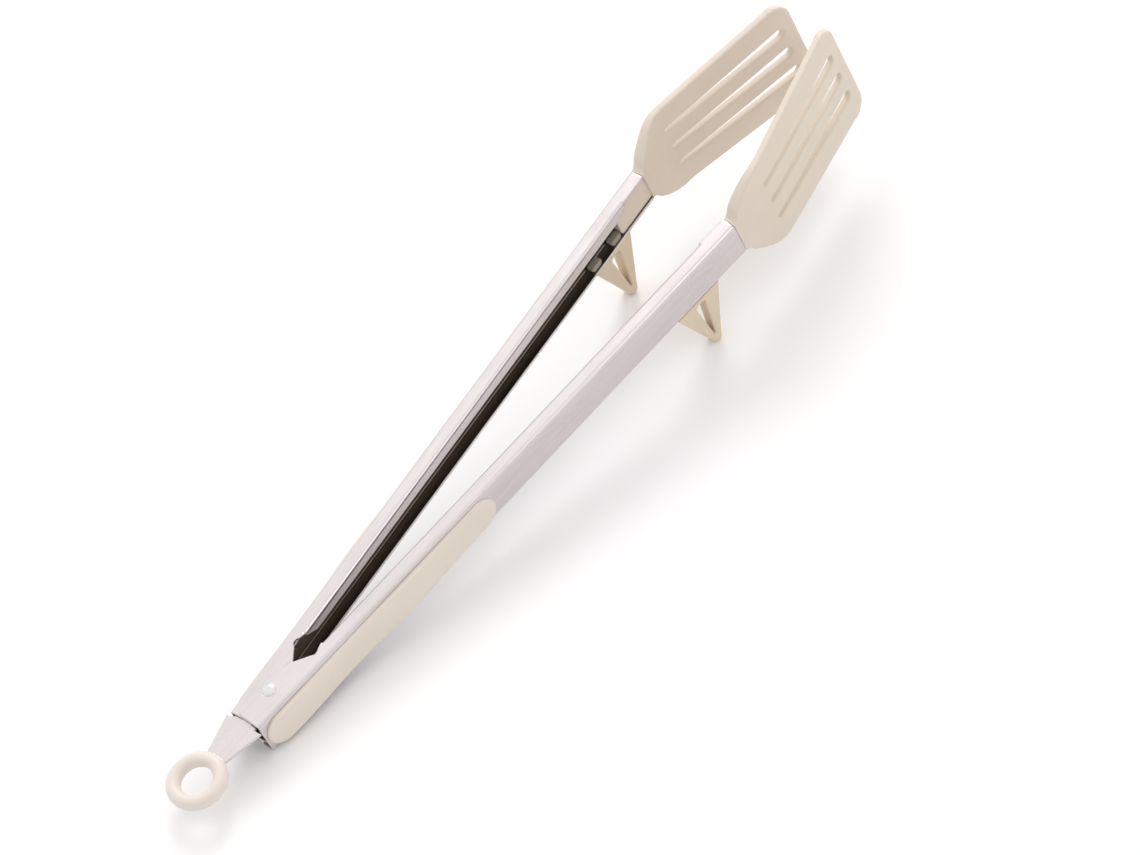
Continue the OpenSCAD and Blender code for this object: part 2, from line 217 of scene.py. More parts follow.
@dataclass
class Skin:
    """A closed surface: points in millimetres and the faces between them."""

    points: np.ndarray
    faces: list[np.ndarray] = field(default_factory=list)

    @classmethod
    def tube(cls, grid: np.ndarray, caps: bool = True) -> "Skin":
        """Joins closed loops of points into a tube.

        The grid holds n loops of m points. Point j of a loop faces point
        m - 1 - j across the sheet, so that the ends close with quads.

        Args:
            grid: (n, m, 3) points.
            caps: whether the first and last loops are closed.

        Returns:
            The closed surface.
        """
        n, m = grid.shape[:2]
        idx = np.arange(n * m).reshape(n, m)
        nxt = np.roll(idx, -1, axis=1)
        quads = np.stack([idx[:-1], nxt[:-1], nxt[1:], idx[1:]], axis=-1).reshape(-1, 4)
        faces = [quads]
        if caps:
            j = np.arange(m // 2 - 1)
            first = np.stack([idx[0, j], idx[0, m - 1 - j], idx[0, m - 2 - j], idx[0, j + 1]], -1)
            last = np.stack([idx[-1, j], idx[-1, j + 1], idx[-1, m - 2 - j], idx[-1, m - 1 - j]], -1)
            faces += [first, last]
        return cls(grid.reshape(-1, 3), faces)

    @classmethod
    def bars(
        cls,
        along: np.ndarray,
        edges: np.ndarray,
        edge_r: float,
        surface: Callable[[np.ndarray, np.ndarray, int], np.ndarray],
        across: int = 9,
        rim: int = 6,
    ) -> list["Skin"]:
        """A slotted sheet as bars that lie side by side between its slots.

        Row i of bar k runs from edges[i, 2k] to edges[i, 2k + 1]. Its points
        crowd within edge_r of both edges. Where two bars touch, the walls
        between them are left out, so that they merge into one sheet.

        Args:
            along: (n,) places of the rows.
            edges: (n, 2b) rising edges of the b bars.
            edge_r: radius of the rounded edges.
            surface: gives (rows, columns, face) -> (n, m, 3), face +1 or -1.
            across: points between the rounded edges.
            rim: points on each rounded edge.

        Returns:
            One surface per bar, ready to be merged.
        """
        made = []
        count = edges.shape[1] // 2
        for k in range(count):
            low, high = edges[:, 2 * k], edges[:, 2 * k + 1]
            width = high - low
            r = np.minimum(edge_r, width * 0.3)
            left = low[:, None] + r[:, None] * curl(rim)
            right = (high[:, None] - r[:, None] * curl(rim))[:, ::-1]
            mid = np.linspace(0, 1, across + 2)[1:-1]
            inner = (low + r)[:, None] + (width - 2 * r)[:, None] * mid
            cols = np.concatenate([left, inner, right], axis=1)
            grid_rows = np.broadcast_to(along[:, None], cols.shape)
            top = surface(grid_rows, cols, 1)
            low_face = surface(grid_rows, cols, -1)
            grid = np.concatenate([top, low_face[:, ::-1]], axis=1)
            skin = cls.tube(grid)
            n, m = grid.shape[:2]
            keep = np.ones((n - 1, m), bool)
            if k + 1 < count:
                gap = edges[:, 2 * k + 2] - high
                keep[:, m // 2 - 1] = (gap[:-1] > 1e-6) | (gap[1:] > 1e-6)
            if k > 0:
                gap = low - edges[:, 2 * k - 1]
                keep[:, m - 1] = (gap[:-1] > 1e-6) | (gap[1:] > 1e-6)
            skin.faces[0] = skin.faces[0][keep.reshape(-1)]
            made.append(skin)
        return made

    @classmethod
    def turned(cls, profile: np.ndarray, count: int = 72) -> "Skin":
        """Turns a profile about Z: (r, z) -> (r cos a, r sin a, z).

        Args:
            profile: (m, 2) radii and heights, from one pole to the other.
            count: steps around.

        Returns:
            The surface, whose poles close when it is merged.
        """
        a = np.linspace(0, 2 * np.pi, count, endpoint=False)
        r, z = profile[:, 0], profile[:, 1]
        grid = np.stack(
            [np.outer(r, np.cos(a)), np.outer(r, np.sin(a)), np.outer(z, np.ones(count))], -1
        )
        return cls.tube(grid, caps=False)

    @classmethod
    def block(cls, centre: Sequence[float], half: Sequence[float], soft: float = 0.25) -> "Skin":
        """A rounded block, a superellipsoid.

        x = a c(v)^e c(u)^e, y = b c(v)^e s(u)^e, z = h s(v)^e with signed powers.

        Args:
            centre: its middle.
            half: half sizes along x, y and z.
            soft: exponent e; smaller is squarer.

        Returns:
            The surface, whose poles close when it is merged.
        """
        u = np.linspace(-np.pi, np.pi, 64, endpoint=False)
        v = np.linspace(-np.pi / 2, np.pi / 2, 33)

        def power(w: np.ndarray) -> np.ndarray:
            """Signed power of a sine or cosine."""
            return np.sign(w) * np.abs(np.where(np.abs(w) < 1e-9, 0, w)) ** soft

        cv, sv = power(np.cos(v))[:, None], power(np.sin(v))[:, None]
        cu, su = power(np.cos(u))[None], power(np.sin(u))[None]
        grid = np.stack(
            [half[0] * cv * cu, half[1] * cv * su, half[2] * sv * np.ones_like(cu)], -1
        ) + np.asarray(centre, float)
        return cls.tube(grid, caps=False)

    @classmethod
    def wire(cls, route: np.ndarray, radius: float, sides: int = 14) -> "Skin":
        """Carries a circle along a route: p + r (cos a u + sin a v).

        u is level and v completes the square with the route's heading. The
        ends close on a point.

        Args:
            route: (n, 3) points.
            radius: the wire's radius.
            sides: points around.

        Returns:
            The surface, whose ends close when it is merged.
        """
        heading = np.gradient(route, axis=0)
        heading /= np.linalg.norm(heading, axis=1, keepdims=True)
        tip = radius * 0.02
        path = np.concatenate([[route[0] - heading[0] * tip], route, [route[-1] + heading[-1] * tip]])
        size = np.concatenate([[0.0], np.full(len(route), radius), [0.0]])
        head = np.concatenate([heading[:1], heading, heading[-1:]])
        u = np.cross(head, [0.0, 0.0, 1.0])
        u /= np.linalg.norm(u, axis=1, keepdims=True)
        v = np.cross(u, head)
        a = np.linspace(0, 2 * np.pi, sides, endpoint=False)
        grid = path[:, None] + size[:, None, None] * (
            np.cos(a)[None, :, None] * u[:, None] + np.sin(a)[None, :, None] * v[:, None]
        )
        return cls.tube(grid, caps=False)


def rounded(d: np.ndarray, half: np.ndarray, r: float) -> np.ndarray:
    """Half thickness at a distance d from an edge rounded to a radius r.

    half - r + sqrt(r^2 - (r - d)^2) within r of the edge, and half beyond it.
    """
    e = r - np.clip(d, 0.0, r)
    return half - r + np.sqrt(np.maximum(r * r - e * e, 0.0))


def make_object(
    name: str, skins: Sequence[Skin], place: Callable[[np.ndarray], np.ndarray]
) -> bpy.types.Object:
    """Makes one mesh object of surfaces, merged, outward and smooth.

    Args:
        name: the piece's name.
        skins: its surfaces, in millimetres.
        place: turns millimetre points into the shared frame, in metres.

    Returns:
        The object, at the origin.
    """
    points = np.concatenate([s.points for s in skins])
    offset = np.cumsum([0] + [len(s.points) for s in skins[:-1]])
    quads = np.concatenate([f + o for s, o in zip(skins, offset) for f in s.faces])
    mesh = bpy.data.meshes.new(name)
    mesh.from_pydata(place(points).tolist(), [], quads.tolist())
    work = bmesh.new()
    work.from_mesh(mesh)
    bmesh.ops.remove_doubles(work, verts=work.verts, dist=MERGE)
    bmesh.ops.recalc_face_normals(work, faces=work.faces)
    work.to_mesh(mesh)
    work.free()
    mesh.polygons.foreach_set("use_smooth", np.ones(len(mesh.polygons), bool))
    mesh.set_sharp_from_angle(angle=SHARP)
    mesh.update()
    obj = bpy.data.objects.new(name, mesh)
    bpy.context.scene.collection.objects.link(obj)
    return obj


# ---------------------------------------------------------------- materials


class Value:
    """A shader socket that takes part in Python expressions."""

    def __init__(self, shader: "Shader", socket: bpy.types.NodeSocket) -> None:
        """Keeps the socket and the shader it belongs to."""
        self.shader = shader
        self.socket = socket

    def _math(self, operation: str, a: object, b: object) -> "Value":
        """Adds one Math node for an operation on two values."""
        node = self.shader.add("ShaderNodeMath", {"operation": operation}, {0: a, 1: b})
        return Value(self.shader, node.outputs[0])

    def __add__(self, other: object) -> "Value":
        """self + other."""
        return self._math("ADD", self, other)

    def __mul__(self, other: object) -> "Value":
        """self * other."""
        return self._math("MULTIPLY", self, other)

    __rmul__ = __mul__

    def __sub__(self, other: object) -> "Value":
        """self - other."""
        return self._math("SUBTRACT", self, other)

    def __abs__(self) -> "Value":
        """self without its sign."""
        return self._math("ABSOLUTE", self, 0.0)


class Shader:
    """One node material around a Principled BSDF."""

    def __init__(self, name: str) -> None:
        """Starts a material with an empty Principled BSDF."""
        self.material = bpy.data.materials.new(name)
        self.material.use_nodes = True
        self.tree = self.material.node_tree
        self.bsdf = next(n for n in self.tree.nodes if n.type == "BSDF_PRINCIPLED")

    def add(
        self, kind: str, settings: Optional[dict] = None, inputs: Optional[dict] = None
    ) -> bpy.types.Node:
        """Adds a node.

        Args:
            kind: the node's type.
            settings: attributes, set first.
            inputs: values or links by socket name or index.

        Returns:
            The new node.
        """
        node = self.tree.nodes.new(kind)
        for key, value in (settings or {}).items():
            setattr(node, key, value)
        for key, value in (inputs or {}).items():
            self.feed(node.inputs[key], value)
        return node

    def feed(self, socket: bpy.types.NodeSocket, value: object) -> None:
        """Links a value to a socket, or sets a plain number or colour on it."""
        if isinstance(value, Value):
            self.tree.links.new(value.socket, socket)
        else:
            socket.default_value = value

    def out(self, node: bpy.types.Node, name: object = 0) -> Value:
        """Wraps one output of a node."""
        return Value(self, node.outputs[name])

    def place(self, turn: Sequence[float] = (0, 0, 0), scale: Sequence[float] = (1, 1, 1)) -> Value:
        """Object coordinates, turned first and then scaled."""
        return self.mapped(self.mapped(self.here(), Rotation=turn), Scale=scale)

    def here(self) -> Value:
        """Object coordinates."""
        return self.out(self.add("ShaderNodeTexCoord"), "Object")

    def mapped(self, vector: Value, **moves: object) -> Value:
        """A vector turned, scaled or moved by one Mapping node."""
        return self.out(self.add("ShaderNodeMapping", {"vector_type": "POINT"}, {"Vector": vector, **moves}))

    def noise(self, vector: Value, scale: float, detail: float = 2.0, roughness: float = 0.5) -> Value:
        """Noise as a number around 0.5."""
        inputs = {"Vector": vector, "Scale": scale, "Detail": detail, "Roughness": roughness}
        return self.out(self.add("ShaderNodeTexNoise", {}, inputs), "Fac")

    def mix(self, factor: Value, a: object, b: object) -> Value:
        """A colour between a and b, each a plain colour or a value."""
        ends = [c if isinstance(c, Value) else (*c, 1.0) for c in (a, b)]
        node = self.add(
            "ShaderNodeMix", {"data_type": "RGBA"}, {"Factor": factor, 6: ends[0], 7: ends[1]}
        )
        return self.out(node, 2)

    def inside(self, turn: Sequence[float], shift: Sequence[float], box: Sequence[float]) -> Value:
        """1 within low < |x| < high and |z| < top of an arm's frame, else 0.

        Args:
            turn: rotation into the arm's frame.
            shift: move that follows the rotation.
            box: low, high and top, in metres.

        Returns:
            The mask of the channel's inside, where shade is painted, softened over a tenth of a millimetre.
        """
        level = self.mapped(self.here(), Rotation=turn, Location=shift)
        parts = self.add("ShaderNodeSeparateXYZ", {}, {0: level})
        x, z = abs(self.out(parts, "X")), abs(self.out(parts, "Z"))
        low, high, top = box
        soft = 0.1 * MM
        return (
            self.span(x, low, low + soft, 0.0, 1.0)
            * self.span(x, high, high + soft, 1.0, 0.0)
            * self.span(z, top, top + soft, 1.0, 0.0)
        )

    def span(self, value: Value, low: float, high: float, to_low: float, to_high: float) -> Value:
        """Maps low..high to to_low..to_high and holds it there."""
        node = self.add(
            "ShaderNodeMapRange", {"clamp": True},
            {"Value": value, "From Min": low, "From Max": high, "To Min": to_low, "To Max": to_high},
        )
        return self.out(node)

    def bump(self, height: Value, strength: float, distance: float) -> Value:
        """A normal from a height."""
        inputs = {"Height": height, "Strength": strength, "Distance": distance}
        return self.out(self.add("ShaderNodeBump", {}, inputs))

    def dress(self, **sockets: object) -> bpy.types.Material:
        """Feeds the Principled BSDF, with _ for a space in a socket's name."""
        for key, value in sockets.items():
            self.feed(self.bsdf.inputs[key.replace("_", " ")], value)
        return self.material


@dataclass(frozen=True)
class SatinSteel:
    """Cold rolled stainless sheet with a fine grain along the arm."""

    name: str
    colour: tuple[float, float, float] = (0.74, 0.69, 0.69)
    deep: tuple[float, float, float] = (0.64, 0.59, 0.595)
    rough: tuple[float, float] = (0.24, 0.36)
    # Painted shade: a dark colour laid over the channel's inside, where the sheet lies in shade.
    painted_inner_shade: tuple[float, float, float] = (0.22, 0.19, 0.165)

    def make(
        self, turn: Sequence[float], shift: Sequence[float], box: Optional[Sequence[float]] = None
    ) -> bpy.types.Material:
        """Builds the material.

        Long noise stretched 60 to 1 along the arm gives the grain, a slow
        cloud gives handling marks, and a few fine scratches lie across both.
        Inside the channel a dark colour is painted in as shade.

        Args:
            turn: rotation of object coordinates into the arm's frame.
            shift: move that follows the rotation.
            box: limits of the channel's inside, where shade is painted, if the piece has one.

        Returns:
            The material.
        """
        sh = Shader(self.name)
        grain = sh.noise(sh.place(turn, (1.0, 0.016, 1.0)), 5200.0, 3.0, 0.62)
        streak = sh.noise(sh.place(turn, (1.0, 0.03, 1.0)), 900.0, 2.0, 0.5)
        cloud = sh.noise(sh.place(turn, (1.0, 0.35, 1.0)), 60.0, 3.0, 0.55)
        slant = (turn[0], turn[1], turn[2] + 0.5)
        scratch = sh.noise(sh.place(slant, (1.0, 0.012, 1.0)), 1500.0, 1.0, 0.4)
        tone = sh.span(0.5 * grain + 0.25 * streak + 0.25 * cloud, 0.34, 0.66, 0.0, 1.0)
        marks = sh.span(scratch, 0.70, 0.78, 0.0, 1.0)
        rough = sh.span(0.45 * grain + 0.55 * cloud, 0.32, 0.68, *self.rough) + 0.06 * marks
        height = 0.7 * grain + 0.3 * streak - 0.25 * marks
        colour = sh.mix(tone, self.deep, self.colour)
        if box:
            # Painted shade: the channel's inside takes the dark colour in place of the steel's own.
            colour = sh.mix(sh.inside(turn, shift, box), colour, self.painted_inner_shade)
        return sh.dress(
            Base_Color=colour,
            Metallic=1.0,
            Roughness=rough,
            Normal=sh.bump(height, 0.10, 0.00006),
        )


@dataclass(frozen=True)
class Moulded:
    """Moulded silicone or plastic with a fine sparked texture."""

    name: str
    colour: tuple[float, float, float]
    deep: tuple[float, float, float]
    rough: tuple[float, float] = (0.42, 0.58)
    pores: float = 2600.0
    relief: float = 0.12
    soft: float = 0.0

    def make(self, turn: Sequence[float], *_: object) -> bpy.types.Material:
        """Builds the material.

        Fine noise gives the sparked grain, a slow cloud gives the flow of the
        moulding, and small specks break up the gloss.

        Args:
            turn: rotation of object coordinates into the piece's frame.

        Returns:
            The material.
        """
        sh = Shader(self.name)
        grain = sh.noise(sh.place(turn), self.pores, 3.0, 0.6)
        flow = sh.noise(sh.place(turn, (1.0, 0.45, 1.0)), 55.0, 3.0, 0.5)
        speck = sh.span(sh.noise(sh.place(turn), self.pores * 0.35, 1.0, 0.4), 0.66, 0.76, 0.0, 1.0)
        tone = sh.span(0.3 * grain + 0.7 * flow, 0.33, 0.67, 0.0, 1.0)
        rough = sh.span(0.5 * grain + 0.5 * flow, 0.32, 0.68, *self.rough) - 0.06 * speck
        height = grain + 0.3 * flow
        sh.bsdf.inputs["Subsurface Weight"].default_value = self.soft
        sh.bsdf.inputs["Subsurface Radius"].default_value = (1.0, 0.75, 0.55)
        sh.bsdf.inputs["Subsurface Scale"].default_value = 0.0015
        return sh.dress(
            Base_Color=sh.mix(tone, self.deep, self.colour),
            Roughness=rough,
            Normal=sh.bump(height, self.relief, 0.00005),
        )


@dataclass(frozen=True)
class Polished:
    """Polished or drawn wire steel with faint turning marks."""

    name: str
    colour: tuple[float, float, float] = (0.92, 0.91, 0.90)
    deep: tuple[float, float, float] = (0.80, 0.79, 0.79)
    rough: tuple[float, float] = (0.06, 0.16)

    def make(self, turn: Sequence[float], *_: object) -> bpy.types.Material:
        """Builds the material: a cloud of handling marks over fine lines.

        Args:
            turn: rotation of object coordinates into the piece's frame.

        Returns:
            The material.
        """
        sh = Shader(self.name)
        cloud = sh.noise(sh.place(turn), 420.0, 3.0, 0.6)
        lines = sh.noise(sh.place(turn, (0.08, 1.0, 1.0)), 5200.0, 2.0, 0.5)
        tone = sh.span(0.6 * cloud + 0.4 * lines, 0.36, 0.64, 0.0, 1.0)
        return sh.dress(
            Base_Color=sh.mix(tone, self.deep, self.colour),
            Metallic=1.0,
            Roughness=sh.span(cloud, 0.35, 0.68, *self.rough),
            Normal=sh.bump(lines, 0.05, 0.00004),
        )


@dataclass
class Finishes:
    """The finishes of the tongs, made once for each direction they need."""

    stance: Stance
    made: dict[str, bpy.types.Material] = field(default_factory=dict)

    def get(
        self, finish: object, side: Optional[Side] = None, box: Optional[Sequence[float]] = None
    ) -> bpy.types.Material:
        """The material of a finish, with its grain turned to a side.

        Args:
            finish: a finish with a name and a make method.
            side: the arm it dresses, or None on the centre plane.
            box: limits of the inside of a channel, where shade is painted, in metres.

        Returns:
            The material.
        """
        key = finish.name + ("" if side is None else "_" + side.label)
        if key not in self.made:
            material = finish.make(self.stance.grain_turn(side), self.stance.shift(side), box)
            material.name = key
            self.made[key] = material
        return self.made[key]


STEEL = SatinSteel("satin_steel")
PLATE_STEEL = SatinSteel("plate_steel", rough=(0.2, 0.32))
RIVET_STEEL = Polished("rivet_steel", (0.80, 0.79, 0.785), (0.70, 0.69, 0.69), (0.14, 0.24))
SPRING_STEEL = Polished("spring_steel", (0.66, 0.65, 0.64), (0.5, 0.49, 0.49), (0.2, 0.34))
SILICONE = Moulded(
    "head_silicone", (0.745, 0.66, 0.565), (0.70, 0.615, 0.52), (0.44, 0.58), 2200.0, 0.14, 0.06
)
GRIP = Moulded("grip_plastic", (0.80, 0.72, 0.63), (0.755, 0.675, 0.585), (0.40, 0.52), 3000.0, 0.12, 0.03)
RING = Moulded("ring_plastic", (0.79, 0.715, 0.65), (0.75, 0.675, 0.61), (0.34, 0.46), 2600.0, 0.10, 0.05)
FOOT = Moulded("foot_plastic", (0.72, 0.60, 0.45), (0.69, 0.57, 0.42), (0.36, 0.50), 2800.0, 0.12, 0.04)
# Painted shade: the tabs are the foot's cream plastic, coloured dark because they sit in the channel's
# shade.
SHADED_TAB = Moulded("tab_plastic", (0.40, 0.345, 0.285), (0.36, 0.31, 0.25), (0.36, 0.50), 2800.0, 0.12, 0.0)
# Painted shade: the pegs are the grip's plastic, coloured near black because they sit in shade inside the
# channel.
SHADED_PEG = Moulded("peg_plastic", (0.10, 0.09, 0.08), (0.07, 0.06, 0.055), (0.40, 0.52), 3000.0, 0.12, 0.0)
CORE = Moulded("core_nylon", (0.58, 0.53, 0.45), (0.55, 0.50, 0.42), (0.40, 0.55), 2400.0, 0.14, 0.0)


# ---------------------------------------------------------------- pieces


@dataclass
class Piece:
    """What every sub-assembly shares: the sizes, the stance and the finishes."""

    sizes: Sizes
    stance: Stance
    finishes: Finishes

    def hand_over(
        self,
        name: str,
        skins: Sequence[Skin],
        side: Optional[Side],
        body: str,
        node: Optional[str],
        slot: str,
        finish: object,
        box: Optional[Sequence[float]] = None,
    ) -> None:
        """Makes a piece, dresses it, ties it to its body and hides the node it replaces, if any.

        Args:
            name: the piece's name.
            skins: its surfaces, in millimetres.
            side: the arm whose frame they are in, or None for the centre plane.
            body: the body it rides on.
            node: the node it replaces, if any.
            slot: the record's material slot; not used.
            finish: its finish.
            box: limits of a channel's inside, where shade is painted, in metres, if it has one.
        """
        place = self.stance.stand if side is None else lambda p: self.stance.open(p, side)
        obj = make_object(name, skins, place)
        obj.data.materials.append(self.finishes.get(finish, side, box))
        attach(obj, body)
        if node:
            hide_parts(node)
        LOG.info("%s: %d faces on %s", obj.name, len(obj.data.polygons), body)


@dataclass
class SteelArm(Piece):
    """A pressed channel with a turned-down lip and two ears.

    Attributes:
        lip_taper: length over which the lip's ends taper.
        lip_gap: bare length between the ear's notch and the lip.
        lip_end: bare length between the lip and the arm's front end.
        ear_reach: reach of the ears over the centre plane.
        ear_r: radius of an ear's rear corner.
        ear_back: length of an ear's slanted front edge.
        ear_drop: length of the drop from the ear into the notch.
        notch_l: length from the ear's front corner to the far end of the notch.
        notch_d: depth of the notch into the flange.
        fold_share: how many times sooner the lip is folded than it is at full depth.
    """

    lip_taper: float = 5.5
    lip_gap: float = 0.3
    lip_end: float = 12.0
    ear_reach: float = 4.0
    ear_r: float = 3.0
    ear_back: float = 6.2
    ear_drop: float = 7.2
    notch_l: float = 11.0
    notch_d: float = 1.4
    fold_share: float = 6.0

    def ear_edge(self, y: np.ndarray) -> np.ndarray:
        """Distance of a flange's free edge from the centre plane at y.

        Straight pieces between the ear's corners, with a quarter circle at
        its rear corner: r - sqrt(r^2 - rear^2).
        """
        s = self.sizes
        front, r = s.ear_front, self.ear_r
        line = np.interp(
            y,
            [-s.arm_tail + r, front - self.ear_back, front, front + self.ear_drop, front + self.notch_l],
            [-self.ear_reach, -self.ear_reach + 0.8, -1.0, s.flange_x + self.notch_d, s.flange_x],
        )
        rear = np.clip(-s.arm_tail + r - y, 0.0, r)
        return line + r - np.sqrt(r * r - rear**2)

    def taper(self, run: float) -> float:
        """Share of the lip's full depth at a distance from one of its ends."""
        return min(max(run / self.lip_taper, 0.0), 1.0)

    def section(self, y: float, h: float) -> tuple[np.ndarray, np.ndarray]:
        """Middle line of the sheet at y, from the lip or ear to the lower edge.

        The line is straight, then an arc, then straight, and so on. At the
        upper free edge it folds down by an angle that grows from 0 to 90
        degrees at the ends of the lip.

        Args:
            y: place along the arm.
            h: height of the channel.

        Returns:
            (m, 2) points in (x, z) and their (m, 2) outward normals.
        """
        s = self.sizes
        t = s.sheet / 2
        r = s.bend_r - t
        top = h / 2 - t
        out = s.arm_x - t
        free = float(self.ear_edge(np.array([y]))[0]) + t
        fold_x = s.flange_x + s.bend_r
        rear, front = s.ear_front + self.notch_l + self.lip_gap, s.arm_l - self.lip_end
        depth = self.taper(y - rear) * self.taper(front - y)
        fold = math.pi / 2 * float(ease(np.array([depth * self.fold_share]))[0])
        bend_len = r * math.pi / 2
        share = min(depth * self.fold_share, 1)
        reach = (fold_x - free) * (1 - share) + bend_len * share + (s.lip_h - s.bend_r) * depth
        run = np.linspace(reach, 0.0, 15)
        if fold > 1e-3:
            rate = fold / bend_len
            turned = np.minimum(run, bend_len) * rate
            px = fold_x - np.sin(turned) / rate
            pz = top - (1 - np.cos(turned)) / rate
            more = np.maximum(run - bend_len, 0.0)
            px -= more * np.cos(turned)
            pz -= more * np.sin(turned)
        else:
            turned = np.zeros_like(run)
            px, pz = fold_x - run, np.full_like(run, top)
        upper = np.stack([px, pz], -1)
        upper_n = np.stack([-np.sin(turned), np.cos(turned)], -1)
        flat = np.linspace(0, 1, 8)[1:-1]
        flange = np.stack([fold_x + (out - r - fold_x) * flat, np.full_like(flat, top)], -1)
        a = quarter(9)[::-1]
        corner = np.stack([out - r + r * np.cos(a), top - r + r * np.sin(a)], -1)
        corner_n = np.stack([np.cos(a), np.sin(a)], -1)
        web = np.linspace(0, 1, 12)[1:-1]
        side = np.stack([np.full_like(web, out), (top - r) * (1 - 2 * web)], -1)
        lower_x = np.linspace(out - r, free, 16)[1:]
        lower = np.stack([lower_x, np.full_like(lower_x, -top)], -1)
        line = np.concatenate([upper, flange, corner, side, corner[::-1] * [1, -1], lower])
        normal = np.concatenate([
            upper_n, np.tile([0.0, 1.0], (len(flange), 1)), corner_n, np.tile([1.0, 0.0], (len(side), 1)),
            corner_n[::-1] * [1, -1], np.tile([0.0, -1.0], (len(lower), 1)),
        ])
        return line, normal

    def skin(self, side: Side) -> Skin:
        """The sheet: the middle line moved out and in by half its thickness.

        Both free edges are half circles, and the thickness falls along a
        quarter circle at the two ends of the arm.
        """
        s = self.sizes
        h = s.height(side)
        t = s.sheet / 2
        rear, front = -s.arm_tail, s.ear_front
        taper = self.lip_taper * np.linspace(0, 1, 14) ** 2
        ys = rows(
            rear + t * curl(5), s.arm_l - t * curl(5), rear + self.ear_r - self.ear_r * np.cos(quarter(16)),
            np.linspace(rear + self.ear_r, front, 30), [front - self.ear_back, front],
            np.linspace(front, front + self.ear_drop, 14),
            np.linspace(front + self.ear_drop, front + self.notch_l, 8),
            front + self.notch_l + self.lip_gap + taper, np.linspace(front + 19, s.arm_l - 19, 60),
            s.arm_l - self.lip_end - taper, np.linspace(s.arm_l - self.lip_end, s.arm_l - 1, 8),
        )
        turn = np.linspace(0, math.pi, 9)[1:-1]
        loops = []
        for y in ys:
            line, normal = self.section(float(y), h)
            gap = min(y + s.arm_tail, s.arm_l - y)
            e = max(t - gap, 0.0)
            half = max(math.sqrt(max(t * t - e * e, 0.0)), 0.03)
            outer = line + normal * half
            inner = (line - normal * half)[::-1]
            tips = []
            for k, sign in ((-1, 1.0), (0, -1.0)):
                away = line[k] - line[k - 1] if k == -1 else line[0] - line[1]
                away = away / np.linalg.norm(away)
                n = normal[k] * sign
                swing = np.cos(turn)[:, None] * n * half + np.sin(turn)[:, None] * away * half
                tips.append(line[k] + swing)
            loop = np.concatenate([outer, tips[0], inner, tips[1]])
            loops.append(np.stack([loop[:, 0], np.full(len(loop), y), loop[:, 1]], -1))
        half_tip = (len(turn) + 1) // 2
        return Skin.tube(np.roll(np.stack(loops), half_tip, axis=1))

    def build(self, side: Side) -> None:
        """Makes and hands over one arm."""
        s = self.sizes
        # The channel's inside, where shade is painted into the steel's colour.
        low, high = s.flange_x + s.sheet * 0.6, s.web_in + s.sheet * 0.4
        top = s.height(side) / 2 - s.sheet * 0.6
        self.hand_over(
            f"{side.label}_steel_arm", [self.skin(side)], side, side.body, f"{side.label}_arm", "steel",
            STEEL, [low * MM, high * MM, top * MM],
        )


